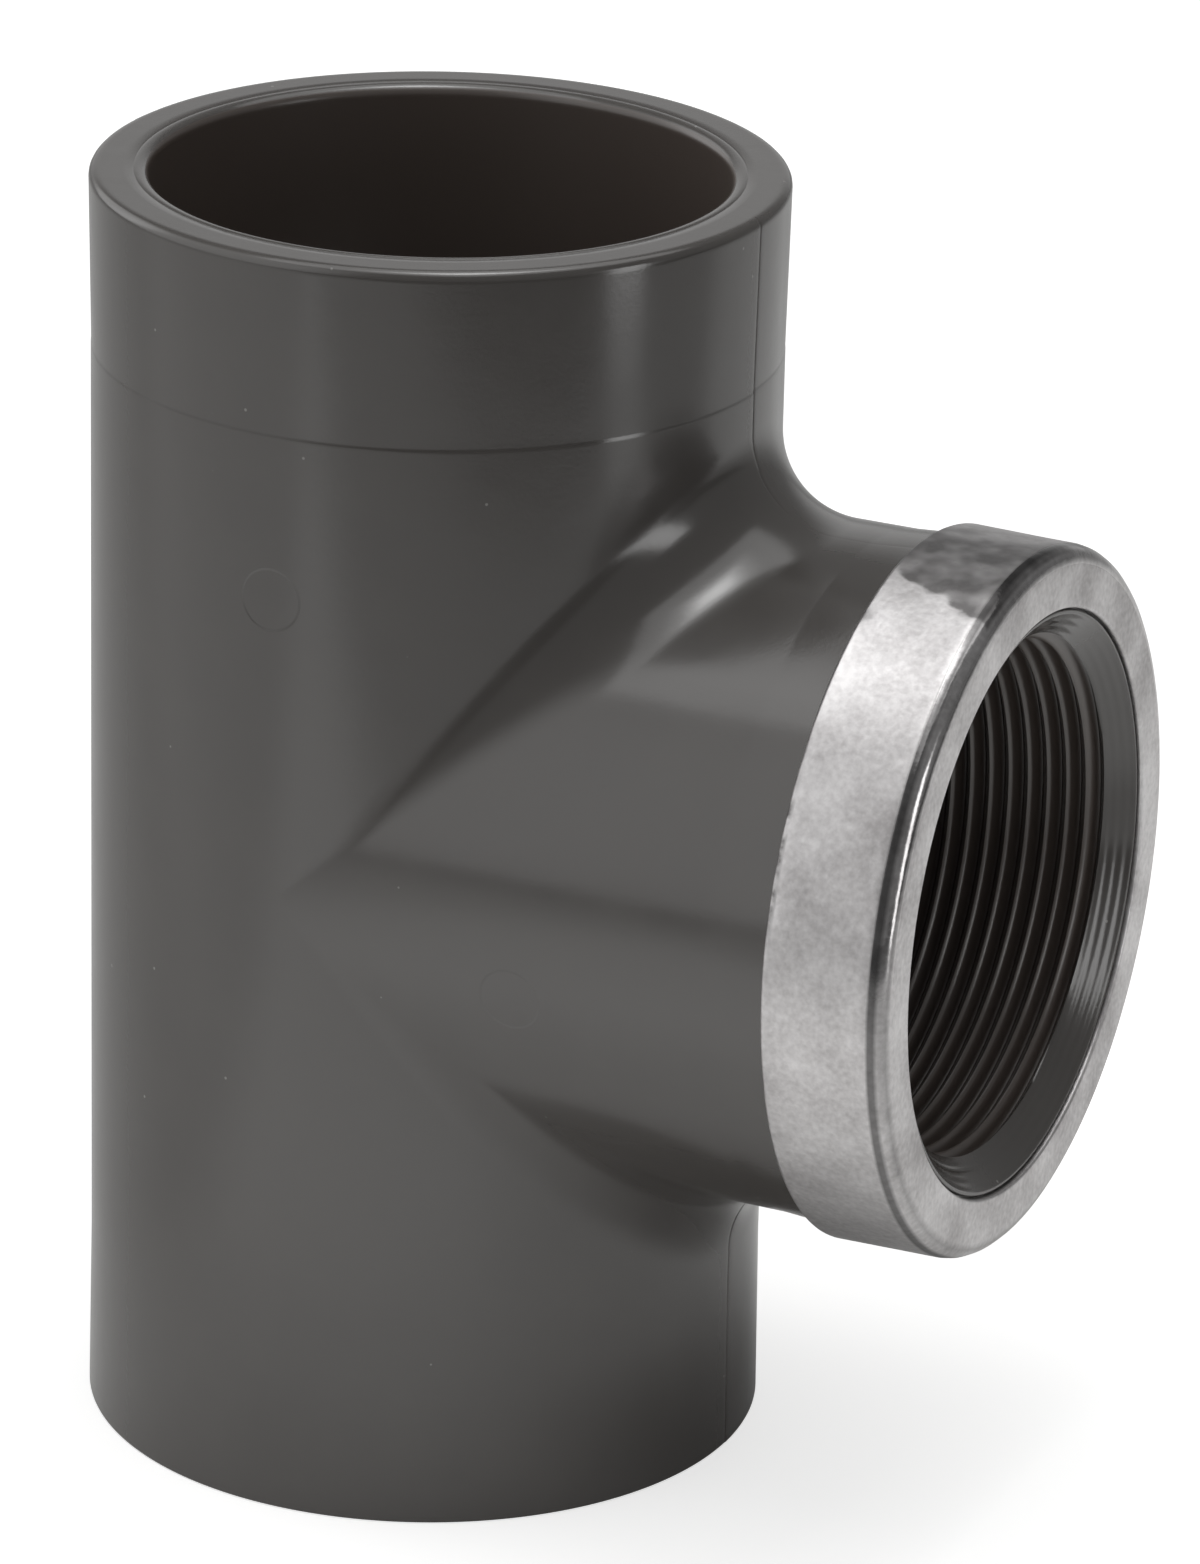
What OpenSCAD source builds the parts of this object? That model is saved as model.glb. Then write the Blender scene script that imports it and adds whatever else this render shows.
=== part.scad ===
// Pipe tee, in millimetres. A moulded body joins two plain sockets on one straight run
// with a threaded branch, and a pressed metal ring holds the branch's end together.
// The run stands on its lower mouth along +Z, and the branch points along +X.

/* [Body] */
// Wall of the run round its sockets, which the branch's outside lines up with
wall = 6.2; // [5.4:0.1:10.4]
// Distance from the crossing of the axes to either socket's mouth
run_reach = 72; // [71:0.5:100]
// Distance from the run's axis to the front face of the ring
branch_reach = 72; // [71:0.5:100]
// Radius of the ball that rolls round the crotch between run and branch
crotch_r = 10; // [4:0.5:12]
// Length of the branch's stretch that widens towards the ring
branch_draft_len = 6; // [3:0.5:8]
// How much the branch's radius grows along that stretch
branch_draft = 0.4; // [0.2:0.1:1]

/* [Mouth collars] */
// Length of a collar, from where its mould half starts to the mouth
collar_len = 20; // [14:0.5:22]
// How far the upper collar's foot is set back from the run, at its mould line
collar_step = 0.1; // [0.05:0.05:0.3]
// How much a collar's radius grows towards its mouth
collar_draft = 0.25; // [0.1:0.05:0.6]
// Rounding of the upper mouth's outer edge
upper_edge_r = 1; // [0.3:0.1:2]
// Rounding of the lower mouth's outer edge
lower_edge_r = 0.4; // [0.2:0.1:2]

/* [Sockets] */
// Radius of the sockets, which the pipe slides into
socket_r = 31.6; // [29:0.05:33]
// Depth of a socket, from the mouth to the pipe's stop
socket_depth = 38; // [25:0.5:40]
// Depth of the lead-in cone at a socket's mouth
lead_in = 1; // [0.5:0.1:3]
// How much the lead-in widens a socket's mouth
lead_in_w = 0.5; // [0.2:0.1:1.5]

/* [Waterway] */
// Width of the shoulder that stops the pipe in a socket
stop_w = 4.1; // [1.5:0.1:8]
// Width of the shoulder behind the thread
thread_stop_w = 1.53; // [0.5:0.01:6]

/* [Branch thread] */
// Radius of the threaded bore, at the thread's crests
thread_r = 28.33; // [27.5:0.01:29.5]
// Length of the threaded bore
thread_len = 24; // [16:0.5:27]
// Depth of the cone that leads into the thread
mouth_cone_len = 3.4; // [2.2:0.1:5]
// How much the cone widens the mouth
mouth_cone_w = 3.4; // [2:0.1:4.5]
// Width of the branch's lip where it shows inside the ring
lip_w = 0.4; // [0.2:0.1:0.8]
// How far the lip stays behind the ring's front face
lip_drop = 0.5; // [0.2:0.1:0.8]
// Gap round the lip, inside the ring's hole
lip_gap = 0.25; // [0.1:0.05:0.6]

/* [Ring] */
// Width of the ring's band along the branch
ring_len = 14; // [8:0.5:16]
// Thickness of the ring's sheet metal
ring_t = 1.2; // [0.9:0.1:2]
// Extra thickness of the band at its rear edge
ring_flare = 0.25; // [0.1:0.05:0.5]
// Outer radius of the bend between band and front
ring_bend_r = 2.2; // [2.1:0.1:4]
// Rounding of the sheet's cut edges
ring_edge_r = 0.4; // [0.1:0.05:0.44]
// Clearance between the branch and the inside of the band
ring_fit = 0.05; // [0.02:0.01:0.3]
// How far the ring's seat is sunk into the branch
ring_sink = 0.3; // [0.1:0.05:1]

/* [Hidden] */
$fn = 180;

// How far a cutting solid runs past the face that it cuts
past = 1;
// Half the angle that the crotch fillet covers round its crease, in degrees
fillet_end = 82;
// Sections along one fillet, and facets across it
fillet_sections = 40;
fillet_facets = 8;
// How far the fillet's edges are sunk into the walls that they leave
fillet_sink = 0.08;
// How deep the fillet's buried corner lies below the crease
fillet_root = 3;

body_r = socket_r + wall;
run_water_r = socket_r - stop_w;
branch_water_r = thread_r - thread_stop_w;
branch_end_r = body_r + branch_draft;
seat_r = branch_end_r - ring_sink;
ring_in_r = seat_r + ring_fit;
ring_out_r = ring_in_r + ring_t;
ring_back_x = branch_reach - ring_len;
seat_front_x = branch_reach - ring_t;
seat_corner_r = ring_bend_r - ring_t + ring_fit;
mouth_r = thread_r + mouth_cone_w;
lip_r = mouth_r + lip_w;
ring_hole_r = lip_r + lip_gap;
lip_x = branch_reach - lip_drop;
thread_x = lip_x - mouth_cone_len;
thread_end_x = thread_x - thread_len;

// Moves what is modelled along +Z round the crossing of the axes onto the branch
module on_branch() translate([0, 0, run_reach]) rotate([0, 90, 0]) children();

// Half a section of a round bar whose outer corner at the top is rounded
module bar_section(r_foot, r_top, len, edge_r) {
    polygon([[0, 0], [r_foot, 0], [r_top, len - edge_r], [r_top - edge_r, len], [0, len]]);
    translate([r_top - edge_r, len - edge_r]) circle(edge_r);
}

// A collar at the run's upper end, from its mould line to the mouth
module collar(foot_r, edge_r)
    translate([0, 0, 2 * run_reach - collar_len])
        rotate_extrude()
            intersection() {
                bar_section(foot_r, body_r + collar_draft, collar_len, edge_r);
                square([2 * body_r, collar_len]);
            }

// Turns what is modelled at the run's upper end down to its lower end
module at_lower_end() translate([0, 0, 2 * run_reach]) mirror([0, 0, 1]) children();

module run() {
    translate([0, 0, collar_len]) cylinder(h = 2 * (run_reach - collar_len), r = body_r);
    collar(body_r - collar_step, upper_edge_r);
    at_lower_end() collar(body_r, lower_edge_r);
}

module branch() {
    draft_x = ring_back_x - branch_draft_len;
    on_branch() {
        cylinder(h = ring_back_x, r = body_r);
        translate([0, 0, draft_x])
            cylinder(h = branch_draft_len, r1 = body_r, r2 = branch_end_r);
        // The seat under the ring, with its front corner inside the ring's bend
        rotate_extrude()
            intersection() {
                bar_section(seat_r, seat_r, seat_front_x, seat_corner_r);
                square([2 * body_r, seat_front_x]);
            }
        cylinder(h = lip_x, r = lip_r);
    }
}

// Where a ball in the crotch has its centre, and where it touches the run and the branch,
// seen from the crossing of the axes. The angle goes round the crease from its top.
function ball(a) = (body_r + crotch_r) * [cos(a), sin(a), cos(a)];
function run_touch(a) = [body_r * cos(a), body_r * sin(a), ball(a).z];
function branch_touch(a) = [ball(a).x, body_r * sin(a), body_r * cos(a)];

// A point on the ball between its two touching points, at a share s of the way
function on_ball(a, s) =
    let (u = run_touch(a) - ball(a), v = branch_touch(a) - ball(a))
    let (turn = acos(u * v / (crotch_r * crotch_r)))
    ball(a) + (sin((1 - s) * turn) * u + sin(s * turn) * v) / sin(turn);

// One flat section of the fillet: from the wall of the run over the ball to the branch's
// wall, and back through a corner buried in both
function fillet_section(a) =
    let (in_r = body_r - fillet_sink, root = body_r + crotch_r - in_r + fillet_root)
    concat(
        [[in_r * cos(a), in_r * sin(a), ball(a).z]],
        [for (i = [1 : fillet_facets - 1]) on_ball(a, i / fillet_facets)],
        [[ball(a).x, in_r * sin(a), in_r * cos(a)]],
        [ball(a) - root * [cos(a), 2 * sin(a), cos(a)]]);

// The rolled fillet over the branch, a crescent that narrows to nothing at its ends
module fillet() {
    n = fillet_facets + 2;
    last = fillet_sections * n;
    angles = [for (k = [0 : fillet_sections]) fillet_end * (2 * k / fillet_sections - 1)];
    points = [for (a = angles) each fillet_section(a)];
    sides = [
        for (k = [0 : fillet_sections - 1], i = [0 : n - 1])
            let (a = k * n + i, b = k * n + (i + 1) % n)
            each [[a, b + n, b], [a, a + n, b + n]]
    ];
    ends = [[for (i = [0 : n - 1]) i], [for (i = [n - 1 : -1 : 0]) last + i]];
    polyhedron(points, concat(sides, ends));
}

// A socket at the run's upper end, with its lead-in
module socket_bore() {
    translate([0, 0, 2 * run_reach - socket_depth])
        cylinder(h = socket_depth + past, r = socket_r);
    translate([0, 0, 2 * run_reach - lead_in])
        cylinder(h = lead_in, r1 = socket_r, r2 = socket_r + lead_in_w);
}

module run_bores() {
    socket_bore();
    at_lower_end() socket_bore();
    cylinder(h = 2 * run_reach, r = run_water_r);
}

module branch_bores()
    on_branch() {
        cylinder(h = branch_reach, r = branch_water_r);
        translate([0, 0, thread_end_x]) cylinder(h = thread_len + past, r = thread_r);
        translate([0, 0, thread_x]) cylinder(h = mouth_cone_len, r1 = thread_r, r2 = mouth_r);
    }

module tee_body()
    color("#4b4c4d")
        difference() {
            union() {
                run();
                branch();
                translate([0, 0, run_reach]) fillet();
                translate([0, 0, run_reach]) mirror([0, 0, 1]) fillet();
            }
            run_bores();
            branch_bores();
        }

// Half a section of the ring: the band with its rounded rear edge, the bend and the front
module ring_section() {
    back_r = ring_out_r + ring_flare;
    bend_z = ring_len - ring_bend_r;
    front_z = ring_len - ring_t;
    difference() {
        union() {
            polygon([
                [ring_in_r, 0], [back_r - ring_edge_r, 0], [back_r, ring_edge_r],
                [ring_out_r, bend_z], [ring_out_r - ring_bend_r, ring_len],
                [ring_hole_r + ring_edge_r, ring_len], [ring_hole_r, ring_len - ring_edge_r],
                [ring_hole_r, front_z], [ring_in_r, front_z]
            ]);
            translate([back_r - ring_edge_r, ring_edge_r]) circle(ring_edge_r);
            translate([ring_out_r - ring_bend_r, bend_z]) circle(ring_bend_r);
            translate([ring_hole_r + ring_edge_r, ring_len - ring_edge_r]) circle(ring_edge_r);
        }
        inner_bend_r = ring_bend_r - ring_t;
        square([ring_in_r - inner_bend_r, front_z]);
        square([ring_in_r, front_z - inner_bend_r]);
        translate([ring_in_r - inner_bend_r, front_z - inner_bend_r]) circle(inner_bend_r);
    }
}

module reinforcing_ring()
    color("#c9c7c3")
        on_branch() translate([0, 0, ring_back_x]) rotate_extrude() ring_section();

tee_body();
reinforcing_ring();
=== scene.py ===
# %% [markdown]
# # A threaded pipe tee
# The object is a pipe fitting of hard grey plastic. A straight run has a plain socket at
# each end, into which pipe is cemented. A branch leaves its side and carries an internal
# pipe thread, and a pressed steel ring round the branch's end stops the thread from
# splitting it. This notebook dresses the measured model: the plastic body becomes one
# smooth closed mesh with the marks of its mould, the thread is cut for real, and both
# materials get their finish. It starts by loading the measured solids as a fixed frame.

# %% Load the measured frame
import math

import bmesh
import bpy
import numpy as np
from mathutils import Matrix, Vector, noise


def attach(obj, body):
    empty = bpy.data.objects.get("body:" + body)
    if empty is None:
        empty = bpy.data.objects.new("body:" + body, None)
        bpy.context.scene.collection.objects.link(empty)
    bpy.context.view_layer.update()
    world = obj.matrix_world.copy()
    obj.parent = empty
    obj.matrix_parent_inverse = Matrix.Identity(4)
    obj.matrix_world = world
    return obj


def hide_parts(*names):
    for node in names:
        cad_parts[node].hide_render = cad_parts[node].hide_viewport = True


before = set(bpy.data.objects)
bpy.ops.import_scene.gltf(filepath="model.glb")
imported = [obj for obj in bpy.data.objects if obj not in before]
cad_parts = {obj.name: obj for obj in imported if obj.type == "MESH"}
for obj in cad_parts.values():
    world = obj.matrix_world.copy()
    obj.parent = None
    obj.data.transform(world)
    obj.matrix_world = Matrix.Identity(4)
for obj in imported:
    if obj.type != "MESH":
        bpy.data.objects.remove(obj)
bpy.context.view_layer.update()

# %% [markdown]
# ## Sizes
# All sizes are in millimetres, and every point is first worked out from the place where
# the axes of run and branch cross. One function then lifts the points onto the floor and
# turns them to metres. Working in millimetres keeps each number readable next to a
# drawing of the fitting, and doing the change of units in one place avoids slips.

# %% Sizes of the tee, in millimetres
REACH = 72.0            # from the crossing to each mouth, and to the ring's front
BODY_R = 37.8           # outside of the run and of the branch
CROTCH_R = 10.0         # the ball that rolls round the crease between them
COLLAR_LEN = 20.0       # from a mould line to the mouth
COLLAR_DRAFT = 0.25     # how much a collar widens towards its mouth
SOCKET_R = 31.6
SOCKET_DEPTH = 38.0
RUN_WATER_R = 27.5
BRANCH_WATER_R = 26.8
THREAD_R = 28.33        # crests of the thread, the narrowest part
THREAD_DEPTH = 1.48
THREAD_PITCH = 25.4 / 11
THREAD_X = 68.1         # where the cone at the mouth meets the thread's crests
THREAD_END_X = 44.1
BRANCH_DRAFT = 0.4      # how much the branch widens just behind the ring
BRANCH_DRAFT_LEN = 6.0
SEAT_R = 37.9           # where the branch is turned down under the ring
SEAT_X = 70.8           # front of that seat, and inside of the ring's front
LIP_R = 32.13           # the thin lip of plastic inside the ring's hole
LIP_X = 71.5
CONE_R = 31.73          # mouth of the cone that leads into the thread
RING_BACK_X = 58.0
RING_IN_R = 37.95
RING_OUT_R = 39.15      # outside of the band where it meets the bend
RING_BACK_R = 39.4      # and at its rear edge, where the sheet flares
RING_BEND_R = 2.2
RING_HOLE_R = 32.38


def to_metres(points):
    """Millimetres from the crossing of the axes to metres in the model's frame."""
    return (np.asarray(points, dtype=float) + [0.0, 0.0, REACH]) / 1000.0


print("the crossing lies at", to_metres([0, 0, 0]), "m")

# %% [markdown]
# ## Helpers for the mesh
# A moulded fitting is made of turned faces, so most of it comes from a profile that is
# spun round an axis. Blender's Spin tool or a Screw modifier could do that, but here the
# spun faces have to meet the crotch fillet and the thread point for point. So each patch
# is a grid of points made in NumPy, and the patches are welded where they touch. No real
# moulding has a razor edge: every corner of a profile gets a small arc, with one point
# just beyond each end of it, which keeps the flat faces beside it flat in the shading.

# %% A profile with rounded corners
ARC_STEPS = 5


def rounded(corners):
    """Rows of (radius, place) along a profile, from corners (radius, place, rounding)."""
    rows = []
    for k, (r, h, rounding) in enumerate(corners):
        here = np.array([r, h])
        if rounding == 0 or k in (0, len(corners) - 1):
            rows.append(here)
            continue
        back = np.array(corners[k - 1][:2]) - here
        ahead = np.array(corners[k + 1][:2]) - here
        room = min(np.linalg.norm(back), np.linalg.norm(ahead))
        back, ahead = back / np.linalg.norm(back), ahead / np.linalg.norm(ahead)
        half = math.acos(np.clip(back @ ahead, -1, 1)) / 2
        run_in = min(rounding / math.tan(half), 0.45 * room)
        radius = run_in * math.tan(half)
        centre = here + (back + ahead) / np.linalg.norm(back + ahead) * radius / math.sin(half)
        u, v = here + back * run_in - centre, here + ahead * run_in - centre
        turn = math.pi - 2 * half
        support = min(0.3 * rounding, 0.1 * room)
        rows.append(here + back * (run_in + support))
        for s in np.linspace(0, 1, ARC_STEPS + 1):
            arm = (math.sin((1 - s) * turn) * u + math.sin(s * turn) * v) / math.sin(turn)
            rows.append(centre + arm)
        rows.append(here + ahead * (run_in + support))
    return np.array(rows)


test = rounded([(1, 0, 0), (1, 5, 0.5), (0, 5, 0)])
print("a corner of 0.5 mm becomes", len(test), "points")

# %% Columns of points, and patches made of them
STEP = 1.5              # degrees from one column to the next
SEAM = np.array([-0.6, -0.3, -0.12, 0.12, 0.3, 0.6])    # close columns beside a mould line


def columns(first, last, seams=()):
    """Angles from first to last in even steps, with close ones round each seam."""
    angles = [np.arange(first, last + STEP / 2, STEP)] + [SEAM + at for at in seams]
    return np.unique(np.concatenate(angles).round(4))


INSIDE = columns(-180, 180)
OUTSIDE = columns(-180, 180, [0, 180, -180])
OUTSIDE = OUTSIDE[(OUTSIDE >= -180) & (OUTSIDE <= 180)]


def about_run(r, angle, z):
    """Points on a cylinder about the run. The angle starts at the branch's side."""
    a = np.radians(angle)
    return np.stack(np.broadcast_arrays(r * np.cos(a), r * np.sin(a), z), axis=-1)


def about_branch(r, angle, x):
    """Points on a cylinder about the branch. The angle starts at its top."""
    a = np.radians(angle)
    return np.stack(np.broadcast_arrays(x, r * np.sin(a), r * np.cos(a)), axis=-1)


def spin(profile, angles, place):
    """A profile of (radius, place) rows spun about an axis, as a grid of points."""
    return place(profile[:, :1], angles[None, :], profile[:, 1:])


body_points, body_faces = [], []


def add_points(points):
    """Adds points to the body and returns the number of the first one."""
    first = sum(len(block) for block in body_points)
    body_points.append(np.asarray(points, dtype=float).reshape(-1, 3))
    return first


def add_grid(grid):
    """Adds a grid of points to the body, with a face between each four of them."""
    rows, cols = grid.shape[:2]
    number = add_points(grid) + np.arange(rows * cols).reshape(rows, cols)
    corners = [number[:-1, :-1], number[1:, :-1], number[1:, 1:], number[:-1, 1:]]
    faces = np.stack(corners, axis=-1)
    body_faces.extend(map(tuple, faces.reshape(-1, 4).tolist()))


def add_zip(ring_a, angles_a, ring_b, angles_b):
    """Joins two rings with different columns, as a zip joins two rows of teeth."""
    a, b = add_points(ring_a), add_points(ring_b)
    i = j = 0
    while i < len(angles_a) - 1 or j < len(angles_b) - 1:
        next_a = angles_a[i + 1] if i < len(angles_a) - 1 else math.inf
        next_b = angles_b[j + 1] if j < len(angles_b) - 1 else math.inf
        if abs(next_a - next_b) < 1e-6:
            body_faces.append((a + i, a + i + 1, b + j + 1, b + j))
            i, j = i + 1, j + 1
        elif next_a < next_b:
            body_faces.append((a + i, a + i + 1, b + j))
            i += 1
        else:
            body_faces.append((a + i, b + j + 1, b + j))
            j += 1


print(len(OUTSIDE), "columns outside,", len(INSIDE), "inside")

# %% [markdown]
# ## The crotch fillet
# Where the branch leaves the run, the real mould has a smooth hollow of one radius. A
# bevel on a boolean would give uneven faces there. Instead the hollow is worked out as a
# ball of that radius rolling in the crease: its centre keeps the same distance from both
# pipes, and the surface is the arc between the two places where it touches them. The
# same angle counts round both pipes, so a column of points runs down the run, over the
# hollow and out along the branch without a break. All the columns meet in one point on
# each side of the tee, where the crease ends.

# %% Run, fillet and branch in one patch
FILLET_STEPS = 24       # rows over the fillet, down the run's wall and along the branch
WALL_STEPS = 18
BRANCH_STEPS = 20
DRAFT_X = RING_BACK_X - BRANCH_DRAFT_LEN
COLLAR_Z = REACH - COLLAR_LEN

SPLIT_DEPTH = 0.045     # groove where the two halves of the mould meet
SPLIT_WIDTH = 0.3
SPLIT_PROUD = 0.04      # how proud the far half stands beside it
SPLIT_FADE = 3.0        # how far from the line that step fades out
POLISHED = 0.12         # the share of it that is left where the mould was polished


def split_relief(y):
    """Height of the mould's split line, which runs where y is 0."""
    groove = -SPLIT_DEPTH * np.clip(1 - np.abs(y) / SPLIT_WIDTH, 0, 1)
    return groove + SPLIT_PROUD * np.where(y > 1e-6, np.exp(-np.abs(y) / SPLIT_FADE), 0)


def worn_away(x, first, last):
    """A share that goes from 1 at one place along the branch to POLISHED at the other."""
    s = np.clip((x - first) / (last - first), 0, 1)
    return 1 + (POLISHED - 1) * s * s * (3 - 2 * s)


def outer_patch(a):
    """The upper crotch: rows from the collar's foot down, over the fillet and outwards."""
    rad = np.radians(a)
    c, s = np.cos(rad), np.sin(rad)
    crease = (BODY_R + CROTCH_R) * c
    ball = np.stack([crease, (BODY_R + CROTCH_R) * s, crease], axis=-1)
    run_touch, branch_touch = about_run(BODY_R, a, crease), about_branch(BODY_R, a, crease)
    u, v = run_touch - ball, branch_touch - ball
    cosine = np.clip((u * v).sum(-1) / CROTCH_R**2, -1, 1)
    turn = np.maximum(np.arccos(cosine), 1e-6)[:, None]
    rows, normals = [], []
    out_run = np.stack([c, s, 0 * s], axis=-1)
    out_branch = np.stack([0 * s, s, c], axis=-1)
    for t in np.linspace(0, 1, WALL_STEPS + 1)[:-1]:
        rows.append(about_run(BODY_R, a, COLLAR_Z * (1 - t) + crease * t))
        normals.append(out_run)
    for t in np.linspace(0, 1, FILLET_STEPS + 1):
        arm = (np.sin((1 - t) * turn) * u + np.sin(t * turn) * v) / np.sin(turn)
        rows.append(ball + arm)
        normals.append(-arm / CROTCH_R)
    for t in np.linspace(0, 1, BRANCH_STEPS + 1)[1:]:
        rows.append(about_branch(BODY_R, a, crease * (1 - t) + DRAFT_X * t))
        normals.append(out_branch)
    grid, normals = np.array(rows), np.array(normals)
    left = worn_away(grid[..., :1], BODY_R, BODY_R + 0.6 * CROTCH_R)
    return grid + normals * split_relief(grid[..., 1:2]) * left


FRONT = columns(-90, 90, [0])
BACK = columns(90, 270, [180])
upper = outer_patch(FRONT)
lower = upper * [1, 1, -1]
add_grid(upper)
add_grid(lower[::-1])
back_z = np.linspace(COLLAR_Z, -COLLAR_Z, 2 * WALL_STEPS + 1)[:, None]
back = about_run(BODY_R, BACK[None, :], back_z)
back_out = about_run(1.0, BACK[None, :], 0 * back_z)
add_grid(back + back_out * split_relief(back[..., 1:2]))
print("fillet: a patch of", upper.shape[:2], "points over the branch and the same under it")

# %% [markdown]
# ## The collars and their mould line
# Twenty millimetres from each mouth the mould changes from its sliding halves to a ring.
# At the upper end that shows as a fine ledge, which catches the light from above, and the
# two halves are a hair out of step there. It could be painted on as a bump, but a real
# ledge in the mesh also shows in a side view and stays part of the mesh itself.

# %% The two collars, with the ledge at the upper one
LEDGE = 0.035           # how deep the ledge is
LEDGE_JOG = 0.35        # how far the two halves of the mould are out of step there
ledge = np.array([
    [BODY_R, COLLAR_Z], [BODY_R, COLLAR_Z + 0.2], [BODY_R - 0.01, COLLAR_Z + 0.35],
    [BODY_R - LEDGE, COLLAR_Z + 0.5], [BODY_R - LEDGE, COLLAR_Z + 0.65],
    [BODY_R - 0.03, COLLAR_Z + 1.2], [BODY_R - 0.01, COLLAR_Z + 2.8],
])
MOUTH_R = BODY_R + COLLAR_DRAFT
MOUTH_MID_R = 35.0      # where the collar's patch ends on the mouth's flat face


def add_collar(foot, edge_r, way):
    """A collar from its foot to the middle of the mouth's flat face."""
    top = rounded([(*foot[-1], 0), (MOUTH_R, REACH, edge_r), (MOUTH_MID_R, REACH, 0)])
    profile = np.vstack([foot[:-1], top])
    grid = spin(profile, OUTSIDE, about_run)
    outside = profile[:, :1, None] > MOUTH_R - edge_r
    grid = grid + outside * about_run(1.0, OUTSIDE, 0.0) * split_relief(grid[..., 1:2])
    near_ledge = np.abs(grid[..., 2] - COLLAR_Z - 0.45) < 0.3
    far_half = grid[..., 1] > 0.01
    grid[..., 2] += LEDGE_JOG * (near_ledge & far_half & (len(foot) > 2))
    grid[..., 2] *= way
    add_grid(grid)
    return grid[-1]


upper_mouth = add_collar(ledge, 1.0, 1)
plain_foot = np.array([[BODY_R, COLLAR_Z], [BODY_R + 0.02, COLLAR_Z + 2.0]])
lower_mouth = add_collar(plain_foot, 0.4, -1)
print("ledge at", round(COLLAR_Z + REACH + 0.4, 2), "mm above the floor")

# %% [markdown]
# ## The sockets and the waterways
# The pipe slides into a socket past a rounded lead-in, with a fine tool mark round the
# upper one, and stops at a shoulder. Behind the shoulder the waterways of run and branch
# cross. Their crease needs the points of both bores to coincide, so the columns of the
# run's bore are moved round to where the columns of the branch's bore come out, and the
# flat shoulder takes up the skew.

# %% Sockets from the mouth to the pipe's stop
SHOULDER_Z = REACH - SOCKET_DEPTH
FACE_R = 34.4           # where the socket's patch starts on the mouth's flat face
WATER_TOP = SHOULDER_Z - 0.4    # where the shoulder's rounded inner edge ends

SKEW = np.degrees(np.arcsin(BRANCH_WATER_R / RUN_WATER_R * np.sin(np.radians(INSIDE))))
edge = SKEW[np.argmin(np.abs(INSIDE - 90))]
behind = np.abs(INSIDE) > 90
to_back = (180 - np.abs(INSIDE[behind])) * (180 - edge) / 90
SKEW[behind] = np.sign(INSIDE[behind]) * (180 - to_back)

TOOL_MARK = np.array([[FACE_R, REACH], [33.35, REACH], [33.2, REACH - 0.09], [33.0, REACH + 0.02]])
socket = rounded([
    (FACE_R, REACH, 0), (SOCKET_R - 0.02, REACH, 1.1), (SOCKET_R, REACH - 4.0, 0.3),
    (SOCKET_R, SHOULDER_Z, 0.3), (29.6, SHOULDER_Z, 0),
])
for way, mouth in ((1, upper_mouth), (-1, lower_mouth)):
    profile = np.vstack([TOOL_MARK, socket[2:]]) if way == 1 else socket
    grid = spin(profile * [1, way], INSIDE, about_run)
    add_zip(mouth, OUTSIDE, grid[0], INSIDE)
    add_grid(grid)
    stop = [grid[-1]]
    for r, z in ((RUN_WATER_R + 0.4, SHOULDER_Z), (RUN_WATER_R + 0.1, SHOULDER_Z - 0.1),
                 (RUN_WATER_R, WATER_TOP)):
        stop.append(about_run(r, SKEW, way * z))
    add_grid(np.array(stop))
print("pipe stops", SOCKET_DEPTH, "mm from the mouth")

# %% The crossing of the two waterways
front = np.abs(INSIDE) <= 90
edge_z = BRANCH_WATER_R * np.cos(np.radians(INSIDE[front]))
steps = np.linspace(0, 1, 11)[:, None]
for way in (1, -1):
    z = way * (WATER_TOP * (1 - steps) + edge_z[None, :] * steps)
    add_grid(about_run(RUN_WATER_R, SKEW[front][None, :], z))
for side in (1, -1):
    cols = SKEW[INSIDE * side >= 90]
    z = np.linspace(WATER_TOP, -WATER_TOP, 21)[:, None]
    add_grid(about_run(RUN_WATER_R, cols[None, :], z))
edge_x = np.sqrt(RUN_WATER_R**2 - (BRANCH_WATER_R * np.sin(np.radians(INSIDE)))**2)
water_x = THREAD_END_X - 0.4
x = edge_x[None, :] * (1 - steps) + water_x * steps
add_grid(about_branch(BRANCH_WATER_R, INSIDE[None, :], x))
print("the crossing's edge lies", round(edge_x.min(), 1), "to", round(edge_x.max(), 1), "mm out")

# %% [markdown]
# ## The branch's end
# Under the ring the branch is turned down to a seat. Inside the ring's hole only a thin
# lip of plastic shows, and from its inner edge a cone leads the male pipe into the
# thread. It is one profile again, spun about the branch. The cone itself is part of the
# thread's own surface further down, because the first turns are cut out of it.

# %% Branch end, from the draft to the first thread
MOUTH_CONE_X = 71.25    # where the lip's rounded inner edge ends
MOUTH_CONE_R = 31.48
branch_end = rounded([
    (BODY_R, DRAFT_X, 0), (BODY_R + BRANCH_DRAFT, RING_BACK_X, 0.08), (SEAT_R, RING_BACK_X, 0),
    (SEAT_R, SEAT_X, 1.05), (SEAT_R - 1.9, SEAT_X, 0),
])
grid = spin(branch_end, OUTSIDE, about_branch)
in_sight = grid[..., :1] < RING_BACK_X - 0.1
relief = POLISHED * split_relief(grid[..., 1:2])
grid = grid + in_sight * about_branch(1.0, OUTSIDE, 0.0) * relief
add_grid(grid)
lip = rounded([
    (SEAT_R - 2.9, SEAT_X, 0), (LIP_R, SEAT_X, 0.1), (LIP_R, LIP_X, 0.18), (CONE_R, LIP_X, 0.2),
    (MOUTH_CONE_R, MOUTH_CONE_X, 0),
])
lip_grid = spin(lip, INSIDE, about_branch)
add_zip(grid[-1], OUTSIDE, lip_grid[0], INSIDE)
add_grid(lip_grid)
print("lip stays", REACH - LIP_X, "mm behind the ring's front")

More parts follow.
